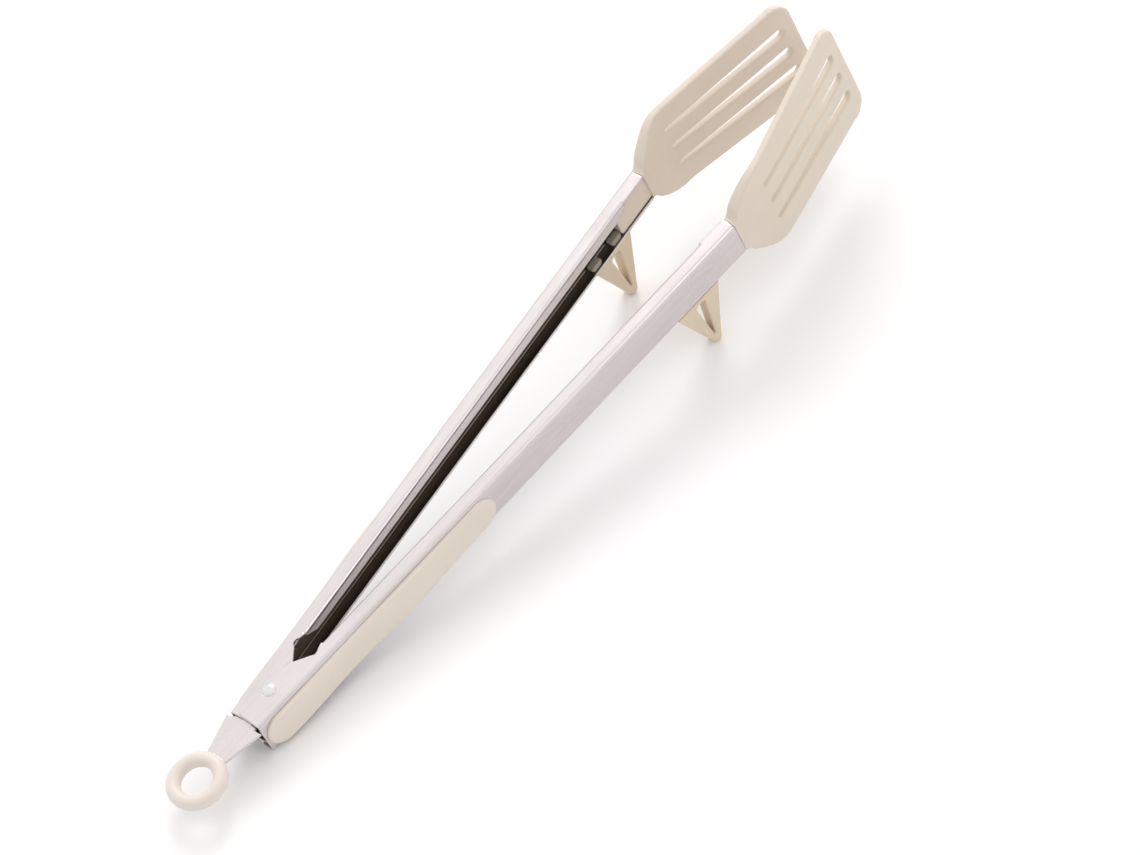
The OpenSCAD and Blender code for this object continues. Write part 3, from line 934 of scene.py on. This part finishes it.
@dataclass
class SpatulaHead(Piece):
    """A bent, slotted silicone blade with its collar and shank."""

    head_l: float = 75.5
    half_w: float = 20.5
    widen: float = 4.0
    flare_l: float = 18.0
    neck_l: float = 3.5
    neck_share: float = 0.6
    blade_t: float = 3.0
    bend_at: float = 10.0
    bend_r: float = 40.0
    lean: float = math.radians(17.0)
    tip_r: float = 7.0
    slot_gap: float = 18.5
    slot_l: float = 50.0
    slot_pitch: float = 9.7
    slot_spread: float = 1.2
    slot_r0: float = 1.0
    slot_r1: float = 2.2
    shank_l: float = 18.0
    edge_r: float = 0.9

    @property
    def slot_y(self) -> float:
        """Place of the slots' narrow ends."""
        return self.sizes.arm_l + self.slot_gap

    @property
    def tip_y(self) -> float:
        """Place of the head's front edge."""
        return self.sizes.arm_l + self.head_l

    def half_at(self, y: np.ndarray, h: float) -> np.ndarray:
        """Half width: a quarter sine flare, a straight widening and round corners.

        The flare is eased in over the first few millimetres of the neck.
        """
        u = y - self.sizes.arm_l
        flare = np.sin(np.pi / 2 * np.clip(u / self.flare_l, 0.0, 1.0)) * ease(u / self.neck_l)
        width = (
            h / 2
            + (self.half_w - h / 2) * flare
            + self.widen * np.maximum(0, u - self.flare_l / 2) / (self.head_l - self.flare_l / 2)
        )
        end = self.half_w + self.widen
        over = np.clip(y - (self.tip_y - self.tip_r), 0.0, self.tip_r)
        corner = end - self.tip_r + np.sqrt(self.tip_r**2 - over**2)
        return np.where(over > 0, np.minimum(width, corner), width)

    def slot_line(self, y: np.ndarray, k: int) -> tuple[np.ndarray, np.ndarray, np.ndarray]:
        """Share along slot k at y, and its middle and radius at that share."""
        s = np.clip((y - self.slot_y) / self.slot_l, 0.0, 1.0)
        mid = k * (self.slot_pitch + self.slot_spread * s)
        return s, mid, self.slot_r0 + (self.slot_r1 - self.slot_r0) * s

    def slot_at(self, y: np.ndarray, k: int) -> tuple[np.ndarray, np.ndarray]:
        """Middle and half width of slot k at y: a tapered slot with round ends."""
        _, mid, r = self.slot_line(y, k)
        before = np.maximum(self.slot_y - y, 0.0)
        after = np.maximum(y - self.slot_y - self.slot_l, 0.0)
        return mid, np.sqrt(np.maximum(r**2 - (before + after) ** 2, 0.0))

    def edge_distance(self, y: np.ndarray, z: np.ndarray, h: float) -> np.ndarray:
        """Distance of a point of the blade from its nearest edge.

        The least of the distances to the sides, the front, the round corners
        and the three slots.
        """
        step = 0.05
        slope = (self.half_at(y + step, h) - self.half_at(y - step, h)) / (2 * step)
        d = (self.half_at(y, h) - np.abs(z)) / np.sqrt(1 + np.minimum(slope**2, 9.0))
        d = np.minimum(d, self.tip_y - y)
        cy, cz = self.tip_y - self.tip_r, self.half_w + self.widen - self.tip_r
        corner = self.tip_r - np.hypot(y - cy, np.abs(z) - cz)
        d = np.where((y > cy) & (np.abs(z) > cz), np.minimum(corner, self.tip_y - y), d)
        for k in (-1, 0, 1):
            share, cz, r = self.slot_line(y, k)
            cy = self.slot_y + self.slot_l * share
            d = np.minimum(d, np.hypot(y - cy, z - cz) - r)
        return np.maximum(d, 0.0)

    def layers(self, y: np.ndarray) -> tuple[np.ndarray, np.ndarray]:
        """Outer and inner face of the head at y.

        Two concentric arcs of radius R and R - t that run on along their
        tangents, eased into the channel's outer face and free edge.
        """
        s = self.sizes
        out = s.arm_x - 0.4
        run = np.maximum(0.0, y - s.arm_l - self.bend_at)

        def bent(r: float) -> np.ndarray:
            """An arc of radius r that runs on along its tangent."""
            turn = np.minimum(run, r * math.sin(self.lean))
            return out - self.bend_r + np.sqrt(r * r - turn**2) - (run - turn) * math.tan(self.lean)

        outer, inner = bent(self.bend_r), bent(self.bend_r - self.blade_t)
        u = 1.0 - ease((y - s.arm_l) / 15.0)
        outer = outer + (s.arm_x - 0.05 - out) * u
        thick = 1.0 - ease((y - s.arm_l - 1.0) / 20.0)
        inner = inner - (out - self.blade_t - s.flange_x - 0.05) * thick
        return outer, inner

    def blade(self, side: Side) -> list[Skin]:
        """The collar and blade as four bars between and beside three slots.

        In the neck, which is narrower than the slots' spread, the bars meet
        within neck_share of its half width.
        """
        s = self.sizes
        h = s.height(side)
        start, end = s.arm_l + 0.04, self.slot_y + self.slot_l
        r0, r1, e = self.slot_r0, self.slot_r1, self.edge_r
        rear_r, rim = 0.4, curl(7)
        ys = rows(
            start + rear_r * rim, np.linspace(start + rear_r, self.slot_y - r0 - e, 30),
            self.slot_y - r0 - e * rim, self.slot_y - r0 * np.cos(quarter(8)),
            np.linspace(self.slot_y, end, 56), end + r1 * np.sin(quarter(10)), end + r1 + e * rim,
            self.tip_y - self.tip_r + self.tip_r * np.sin(quarter(16)), self.tip_y - e * rim,
        )
        half = self.half_at(ys, h)
        edges = [-half]
        for k in (-1, 0, 1):
            mid, w = self.slot_at(ys, k)
            mid = np.clip(mid, -self.neck_share * half, self.neck_share * half)
            edges += [mid - w, mid + w]
        edges.append(half)

        def surface(y: np.ndarray, z: np.ndarray, face: int) -> np.ndarray:
            """Middle of the layers, moved by the rounded half thickness."""
            outer, inner = self.layers(y)
            r = self.edge_r
            d = self.edge_distance(y, z, h)
            rear = rounded(y - start, (outer - inner) / 2, rear_r) - (outer - inner) / 2
            half_t = rounded(d, (outer - inner) / 2, r) + rear
            x = (outer + inner) / 2 + face * half_t
            return np.stack([x, y, z], -1)

        return Skin.bars(ys, np.stack(edges, -1), e, surface)

    def shank(self, side: Side) -> Skin:
        """The tongue that fills the end of the channel."""
        s = self.sizes
        inner = s.height(side) - 2 * s.sheet - 0.2
        low_x = s.flange_x + s.sheet + 0.1
        high_x = s.web_in - 0.1
        return Skin.block(
            ((low_x + high_x) / 2, s.arm_l - self.shank_l / 2 + 0.6, 0.0),
            ((high_x - low_x) / 2, self.shank_l / 2 + 0.6, inner / 2), 0.12,
        )

    def build(self, side: Side) -> None:
        """Makes and hands over one head."""
        self.hand_over(
            f"{side.label}_spatula_head", [*self.blade(side), self.shank(side)], side, side.body,
            f"{side.label}_head", "head_silicone", SILICONE,
        )
        core = frame["nodes"][f"{side.label}_head_core"]
        core.data.materials.clear()
        core.data.materials.append(self.finishes.get(CORE, side))


@dataclass
class GripPad(Piece):
    """A moulded pad on the outside of a web, with the pegs that hold it."""

    length: float = 114.0
    strip: float = 2.0
    clip_fit: float = 0.1
    thin: float = 1.1
    swell: float = 1.2
    peg_r: float = 1.9
    edge_w: float = 2.2
    edge_share: float = 0.28
    peg_places: tuple[float, ...] = (0.3, 0.6, 0.9)

    def depth(self, y: np.ndarray) -> np.ndarray:
        """Thickness at y: thin + swell cos^2(pi (s - 0.1) / 0.53)."""
        s = (y + self.sizes.arm_tail - 1) / self.length
        return self.thin + self.swell * np.cos(np.pi * (s - 0.1) / 0.53) ** 2 - 0.6 * (2 * s - 1) ** 8

    def skin(self, side: Side) -> list[Skin]:
        """The pad: a slot-shaped outline with a soft, rounded crown."""
        s = self.sizes
        r = (s.height(side) - self.strip - self.clip_fit) / 2
        mid = -(self.strip - self.clip_fit) / 2
        low, high = -s.arm_tail + 1, -s.arm_tail + 1 + self.length
        ys = rows(low + r * curl(26), np.linspace(low + r, high - r, 70), high - r * curl(26))
        end = np.minimum(outside(ys, low + r, high - r), r)
        half = np.sqrt(r * r - end * end)

        def surface(y: np.ndarray, z: np.ndarray, face: int) -> np.ndarray:
            """Crown depth (e + (1 - e) sqrt(1 - (1 - d / w)^2)) over the web."""
            past = outside(y, low + r, high - r)
            d = np.clip((r - np.hypot(past, z - mid)) / self.edge_w, 0.0, 1.0)
            crown = self.depth(y) * (self.edge_share + (1 - self.edge_share) * np.sqrt(1 - (1 - d) ** 2))
            x = s.arm_x + (crown if face > 0 else np.full_like(y, -0.02))
            return np.stack([x, y, z], -1)

        return Skin.bars(ys, np.stack([mid - half, mid + half], -1), self.edge_w, surface, 12, 8)

    def pegs(self) -> list[Skin]:
        """Three pegs with rounded heads on the inside of the web."""
        s = self.sizes
        a = quarter(7)
        profile = np.concatenate([
            [[0.0, 0.0], [self.peg_r, 0.0]],
            np.stack([self.peg_r - 0.3 + 0.3 * np.cos(a), 1.3 + 0.3 * np.sin(a)], -1),
            [[0.0, 1.65]],
        ])
        made = []
        for k in self.peg_places:
            peg = Skin.turned(profile, 40)
            r, q, z = peg.points.T
            peg.points = np.stack([s.arm_x - 0.05 - z, -s.arm_tail + 1 + self.length * k + q, r], -1)
            made.append(peg)
        return made

    def build(self, side: Side) -> None:
        """Makes and hands over one pad."""
        name, slot = f"{side.label}_grip", "grip_plastic"
        self.hand_over(f"{name}_pad", self.skin(side), side, side.body, name, slot, GRIP)
        # The pegs take the near-black painted-shade colour.
        self.hand_over(f"{name}_pegs", self.pegs(), side, side.body, None, slot, SHADED_PEG)


@dataclass
class StandFoot(Piece):
    """A V-shaped foot under the lower flange, with its two tabs.

    Attributes:
        gap_l: distance of the foot's middle from the arm's front end.
        length: length of the foot along the arm, at the flange.
        drop: depth of the foot's tip under the arm's middle line.
        gap_w: width of the gap between the legs, at its top.
        gap_top: height of the bridge over the gap.
        gap_r: radii of the gap's narrow lower end and of its upper corners.
        tab: width and length of a tab.
        tab_places: the tabs' places along the arm from the foot's middle.
    """

    gap_l: float = 25.0
    length: float = 21.0
    drop: float = 33.5
    width: float = 5.0
    tip_r: float = 2.1
    gap_w: float = 4.6
    gap_top: float = 2.2
    gap_r: tuple[float, float] = (0.3, 0.8)
    edge_r: float = 0.7
    tab: tuple[float, float] = (3.4, 4.4)
    tab_places: tuple[float, float] = (-8.0, 4.0)

    @property
    def at_y(self) -> float:
        """Place of the foot's middle along the arm."""
        return self.sizes.arm_l - self.gap_l

    def skin(self, side: Side) -> list[Skin]:
        """Two legs that meet in a round tip, as two bars beside a gap."""
        s = self.sizes
        base = -s.height(side) / 2 - 0.02
        tip = -self.drop + self.tip_r
        low, high = -self.drop + 2 * self.tip_r + 1, base - self.gap_top
        turn, e, rim = quarter(12), self.edge_r, curl(6)
        narrow, wide = self.gap_r
        zs = rows(
            tip - self.tip_r * np.cos(turn), np.linspace(tip, low - narrow, 6), low - narrow * np.cos(turn),
            np.linspace(low, high - wide, 30), high - wide + wide * np.sin(turn),
            [high + 0.002], high + 0.002 + e * rim, base - e * rim,
        )
        below = np.clip(tip - zs, 0.0, self.tip_r)
        share = np.clip((zs - tip) / (base - tip), 0.0, 1.0)
        leg = self.tip_r + (self.length / 2 - self.tip_r) * share
        half = np.where(below > 0, np.sqrt(self.tip_r**2 - below**2), leg)
        inside = np.clip((zs - low) / (high - low), 0.0, 1.0)
        gap = narrow + (self.gap_w / 2 - narrow) * inside
        corner = np.clip((zs - high + wide) / wide, 0.0, 1.0)
        gap = gap - wide * (1 - np.sqrt(1 - corner**2))
        start = np.clip(low - zs, 0.0, narrow)
        gap = np.where(zs < low, np.sqrt(narrow**2 - start**2), gap)
        gap = np.where((zs <= low - narrow) | (zs > high + 1e-4), 0.0, gap)
        mid = s.arm_x - s.flange_w / 2

        def surface(z: np.ndarray, y: np.ndarray, face: int) -> np.ndarray:
            """Half the width, rounded near the outline and the gap."""
            zs_half = np.interp(z, zs, half)
            zs_gap = np.interp(z, zs, gap)
            d = zs_half - np.abs(y)
            d = np.where(z < tip, self.tip_r - np.hypot(z - tip, y), d)
            d = np.where(zs_gap > 0, np.minimum(d, np.abs(y) - zs_gap), d)
            above = np.hypot(z - high, np.maximum(np.abs(y) - self.gap_w / 2 + wide, 0))
            d = np.where(z > high, np.minimum(d, above), d)
            x = mid + face * rounded(np.maximum(d, 0.0), np.full_like(y, self.width / 2), e)
            return np.stack([x, self.at_y + y, z], -1)

        return Skin.bars(zs, np.stack([-half, -gap, gap, half], -1), e, surface, 7, 6)

    def tabs(self, side: Side) -> list[Skin]:
        """The barbed tabs above the flange."""
        s = self.sizes
        base = -s.height(side) / 2
        mid = s.arm_x - s.flange_w / 2
        wide, long = self.tab
        made = []
        for y in (self.at_y + place for place in self.tab_places):
            barb = (wide / 2 - 0.1, (long + 1.1) / 2, 0.9)
            made.append(Skin.block((mid, y, base + s.sheet + 0.95), barb, 0.3))
            made.append(Skin.block((mid, y, base + s.sheet / 2), (wide / 2, long / 2, 0.9), 0.2))
        return made

    def build(self, side: Side) -> None:
        """Makes and hands over one foot."""
        label, slot = side.label, "foot_plastic"
        self.hand_over(f"{label}_stand_foot", self.skin(side), side, side.body, f"{label}_foot", slot, FOOT)
        # The tabs carry the dark painted-shade copy of the foot plastic.
        self.hand_over(f"{label}_foot_tabs", self.tabs(side), side, side.body, None, slot, SHADED_TAB)


@dataclass
class PullTab(Piece):
    """The lock plate and the ring that is moulded around its tongue.

    Attributes:
        widest: turn of an arm off the centre plane at the widest opening, in degrees.
    """

    widest: float = 9.2
    travel: float = 8.0
    thick: float = 1.2
    at_z: float = 5.5
    tail: float = 15.5
    end_x: float = 4.2
    tongue_l: float = 3.2
    tongue_x: float = 2.2
    slot_r: float = 2.1
    front_rim: float = 2.2
    edge_r: float = 0.28
    ring_r: float = 8.6
    tube_r: float = 2.75

    @property
    def shoulder_y(self) -> float:
        """Place of the plate's shoulders, just behind the arms' ends."""
        a = math.radians(self.widest)
        return -(self.sizes.arm_tail * math.cos(a) + self.sizes.arm_x * math.sin(a)) - 0.1

    @property
    def rear_y(self) -> float:
        """Place where the plate meets the ring."""
        return self.shoulder_y - self.tail

    def plate(self) -> list[Skin]:
        """The plate as two bars beside its rivet slot."""
        s = self.sizes
        a = math.radians(self.widest)
        front_x = s.web_in * math.cos(a) - 0.1
        neck_x = front_x - s.arm_tail * math.sin(a)
        slot_r, e, rim, turn = self.slot_r, self.edge_r, curl(6), quarter(10)
        front = self.travel + slot_r + self.front_rim
        knee = self.travel - s.arm_tail
        rear, shoulder = self.rear_y, self.shoulder_y
        tongue = rear - self.tongue_l
        ys = rows(
            [tongue, rear - 0.01], np.linspace(rear, shoulder - 0.01, 16),
            shoulder + e * rim - 0.005, shoulder - e * rim - 0.01,
            np.linspace(shoulder + 0.3, knee, 6), np.linspace(knee, -slot_r - e, 4),
            -slot_r * np.cos(turn), np.linspace(0, self.travel, 8),
            self.travel + slot_r * np.sin(turn), front - e * rim,
        )
        half = np.interp(
            ys,
            [tongue, rear - 0.01, rear, shoulder - 0.01, shoulder - 0.005, knee, self.travel, front],
            [self.tongue_x, self.tongue_x, self.end_x, s.arm_x, neck_x, neck_x, front_x, front_x - 0.6],
        )
        past = outside(ys, 0.0, self.travel)
        slot = np.sqrt(np.maximum(slot_r**2 - past**2, 0.0))

        def surface(y: np.ndarray, x: np.ndarray, face: int) -> np.ndarray:
            """Half the thickness, rounded near the outline and the slot."""
            d = np.interp(y, ys, half) - np.abs(x)
            d = np.minimum(d, np.hypot(outside(y, 0.0, self.travel), x) - slot_r)
            d = np.minimum(d, front - y)
            step = np.where(np.abs(x) > neck_x, shoulder - 0.005 - y, 9.0)
            d = np.minimum(d, np.where(step > -0.006, np.maximum(step, 0.0), 9.0))
            z = self.at_z + face * rounded(np.maximum(d, 0.0), np.full_like(x, self.thick / 2), e)
            return np.stack([x, y, z], -1)

        return Skin.bars(ys, np.stack([-half, -slot, slot, half], -1), e, surface, 7, 6)

    def ring(self) -> Skin:
        """The ring: ((R + t cos b) cos a, (R + t cos b) sin a, t sin b)."""
        s_y = self.rear_y - self.ring_r - self.tube_r + 1.2
        a = np.linspace(0, 2 * np.pi, 144, endpoint=False)
        b = np.linspace(0, 2 * np.pi, 48, endpoint=False)
        seam = 0.05 * np.exp(-((np.sin(b) / 0.10) ** 2)) * (np.cos(b) > 0)
        tube = self.tube_r - 0.05 + seam
        reach = self.ring_r + tube * np.cos(b)
        grid = np.stack([
            np.outer(np.cos(a), reach), s_y + np.outer(np.sin(a), reach),
            np.broadcast_to(self.at_z + tube * np.sin(b), (len(a), len(b))),
        ], -1)
        n, m = grid.shape[:2]
        idx = np.arange(n * m).reshape(n, m)
        nxt = np.roll(idx, -1, 0)
        quads = np.stack([idx, nxt, np.roll(nxt, -1, 1), np.roll(idx, -1, 1)], -1).reshape(-1, 4)
        return Skin(grid.reshape(-1, 3), [quads])

    def build(self) -> None:
        """Makes and hands over the plate and the ring."""
        body = "pull_tab"
        self.hand_over("sliding_plate", self.plate(), None, body, "lock_plate", "steel", PLATE_STEEL)
        self.hand_over("pull_ring", [self.ring()], None, body, "hang_ring", "ring_plastic", RING)


@dataclass
class Pivot(Piece):
    """The rivet and the torsion spring around it."""

    pin_r: float = 2.0
    head_r: float = 2.9
    head_h: float = 1.1
    dimple: float = 0.0875
    dimple_r: float = 0.9
    wire_d: float = 1.2
    turns: int = 5
    leg: float = 34.0
    plate_z: float = 5.5
    plate_t: float = 1.2

    def rivet(self) -> Skin:
        """A turned shank with a domed head at each end."""
        h = self.sizes.arm_h / 2
        dome = (self.head_r**2 + self.head_h**2) / (2 * self.head_h)
        a = np.linspace(0, math.asin((self.head_r - 0.12) / dome), 18)
        r = dome * np.sin(a)
        z = h + self.head_h - dome * (1 - np.cos(a)) - 0.02
        dimple = self.dimple * np.exp(-((r / self.dimple_r) ** 2))
        top = np.stack([r, z - dimple], -1)
        rim = np.array([[-0.02, 0.10], [0.0, 0.05], [-0.04, 0.0]]) + [self.head_r, h]
        shank = np.array([[self.pin_r, h], [self.pin_r, 0.0]])
        upper = np.concatenate([top, rim, shank])
        lower = (upper * [1, -1])[::-1]
        return Skin.turned(np.concatenate([upper, lower[1:]]), 96)

    def spring(self) -> tuple[Skin, Skin, Skin]:
        """The turns around the rivet from the bottom up, and the spring's two legs.

        Each leg runs on into the first turn, so that it stays joined to the
        coil when it swings with its arm.

        Returns:
            The coil, the right-hand leg and the left-hand leg.
        """
        s = self.sizes
        coil_r = self.pin_r + 0.5 + self.wire_d / 2
        top = self.plate_z - self.plate_t / 2 - 0.3 - self.wire_d / 2
        pitch = self.wire_d + 0.25
        x, y = s.web_in - s.slide_gap - self.wire_d / 2, self.leg
        c, q = math.cos(self.stance.rest), math.sin(self.stance.rest)
        ex, ey = x * c + y * q, y * c - x * q
        lead = math.asin(coil_r / math.hypot(ex, ey))
        off = math.pi / 2 - math.atan2(ey, ex)
        a0 = -(off - lead)
        sweep = math.pi + 2 * a0 + 2 * math.pi * self.turns
        low = top - pitch * sweep / (2 * math.pi)
        t = np.linspace(0, 1, 320)
        a = a0 - sweep * t
        rise = pitch * sweep / (2 * math.pi)
        coil = np.stack([coil_r * np.cos(a), coil_r * np.sin(a), low + rise * t], -1)
        u = np.linspace(0, 1, 12)[:-1, None]
        first = np.concatenate([np.array([ex, ey, low]) * (1 - u) + coil[0] * u, coil[:3]])
        last = np.concatenate([np.array([-ex, ey, top]) * (1 - u) + coil[-1] * u, coil[:-4:-1]])
        return tuple(Skin.wire(route, self.wire_d / 2) for route in (coil, first, last))

    def build(self) -> None:
        """Makes and hands over the rivet and the spring."""
        body, slot = "pivot", "spring_steel"
        self.hand_over("domed_rivet", [self.rivet()], None, body, "pivot_rivet", "rivet_steel", RIVET_STEEL)
        coil, *legs = self.spring()
        self.hand_over("coil_spring", [coil], None, body, "torsion_spring", slot, SPRING_STEEL)
        for side, leg in zip(Side, legs):
            self.hand_over(f"{side.label}_spring_leg", [leg], None, side.body, None, slot, SPRING_STEEL)


# ---------------------------------------------------------------- stage


@dataclass
class Studio:
    """A pale floor, soft lights and the camera."""

    stance: Stance
    floor_colour: tuple[float, float, float] = (0.93, 0.93, 0.93)
    camera_at: tuple[float, float, float] = (1433.487, -508.532, 2032.743)
    look_turn: tuple[float, float, float] = (2.50273488, 0.795754121, -0.658051106)
    lens: float = 233.805
    sky_from: tuple[float, float, float] = (-0.45, 0.1, 0.89)
    sky: tuple[float, float, float, float] = (-0.1, 0.95, 0.68, 1.12)

    def floor(self) -> None:
        """A wide matte sheet just under the feet."""
        size, edge = 6.0, 3
        t = np.linspace(-size, size, edge)
        grid = np.stack(np.meshgrid(t, t, indexing="ij") + [np.full((edge, edge), -0.0004)], -1)
        idx = np.arange(edge * edge).reshape(edge, edge)
        quads = np.stack([idx[:-1, :-1], idx[1:, :-1], idx[1:, 1:], idx[:-1, 1:]], -1).reshape(-1, 4)
        mesh = bpy.data.meshes.new("floor")
        mesh.from_pydata(grid.reshape(-1, 3).tolist(), [], quads.tolist())
        obj = bpy.data.objects.new("floor", mesh)
        bpy.context.scene.collection.objects.link(obj)
        sh = Shader("floor_paper")
        cloud = sh.noise(sh.place(), 3.0, 2.0, 0.5)
        pale = self.floor_colour
        mesh.materials.append(sh.dress(
            Base_Color=sh.mix(cloud, tuple(c * 0.99 for c in pale), pale), Roughness=0.9
        ))
        sh.bsdf.inputs["Specular IOR Level"].default_value = 0.1

    def light(self, name: str, at: Vector, aim: Vector, size: tuple[float, float], power: float) -> None:
        """Adds one rectangular area light that faces a point."""
        data = bpy.data.lights.new(name, "AREA")
        data.shape = "RECTANGLE"
        data.size, data.size_y = size
        data.energy = power
        obj = bpy.data.objects.new(name, data)
        obj.location = at
        obj.rotation_euler = (aim - at).to_track_quat("-Z", "Y").to_euler()
        bpy.context.scene.collection.objects.link(obj)

    def camera(self) -> None:
        """The camera, solved in the level frame and stood with the tongs.

        Its axes are the columns of the turn's transpose, with Y and Z
        reversed from image axes (x right, y down, z forward).
        """
        turn = Vector(self.look_turn)
        look = Matrix.Rotation(turn.length, 3, turn.normalized())
        axes = look.transposed() @ Matrix(((1, 0, 0), (0, -1, 0), (0, 0, -1)))
        tilt = Matrix.Rotation(self.stance.tilt, 3, "X")
        data = bpy.data.cameras.new("camera")
        data.lens = self.lens
        data.sensor_width = 36.0
        data.clip_start, data.clip_end = 0.1, 50.0
        obj = bpy.data.objects.new("camera", data)
        at = self.stance.stand(np.array([self.camera_at]))[0]
        obj.matrix_world = Matrix.Translation(Vector(at)) @ (tilt @ axes).to_4x4()
        bpy.context.scene.collection.objects.link(obj)
        bpy.context.scene.camera = obj

    def build(self) -> None:
        """Sets the world, the floor, the lights and the camera."""
        scene = bpy.context.scene
        scene.view_settings.view_transform = "Standard"
        world = bpy.data.worlds.new("studio")
        world.use_nodes = True
        tree = world.node_tree
        back = tree.nodes["Background"]
        back.inputs["Color"].default_value = (1.0, 0.985, 0.985, 1.0)
        start = tree.nodes.new("ShaderNodeTexCoord")
        side = tree.nodes.new("ShaderNodeVectorMath")
        side.operation = "DOT_PRODUCT"
        side.inputs[1].default_value = self.sky_from
        spread = tree.nodes.new("ShaderNodeMapRange")
        spread.interpolation_type = "SMOOTHSTEP"
        for name, value in zip(("From Min", "From Max", "To Min", "To Max"), self.sky):
            spread.inputs[name].default_value = value
        tree.links.new(start.outputs["Generated"], side.inputs[0])
        tree.links.new(side.outputs["Value"], spread.inputs["Value"])
        tree.links.new(spread.outputs[0], back.inputs["Strength"])
        scene.world = world
        self.floor()
        aim = Vector((0.0, 0.0, 0.03))
        self.light("key", Vector((-1.1, 1.3, 1.5)), aim, (0.9, 0.9), 14.0)
        self.light("edge", Vector((1.7, 0.4, 1.2)), aim, (0.3, 1.2), 3.0)
        self.camera()


def main() -> None:
    """Builds the sub-assemblies in order."""
    logging.basicConfig(level=logging.INFO, format="%(name)s: %(message)s")
    stance = Stance.from_frame()
    sizes = Sizes()
    finishes = Finishes(stance)
    Studio(stance).build()
    for side in Side:
        SteelArm(sizes, stance, finishes).build(side)
        SpatulaHead(sizes, stance, finishes).build(side)
        GripPad(sizes, stance, finishes).build(side)
        StandFoot(sizes, stance, finishes).build(side)
    PullTab(sizes, stance, finishes).build()
    Pivot(sizes, stance, finishes).build()


if __name__ == "__main__":
    main()
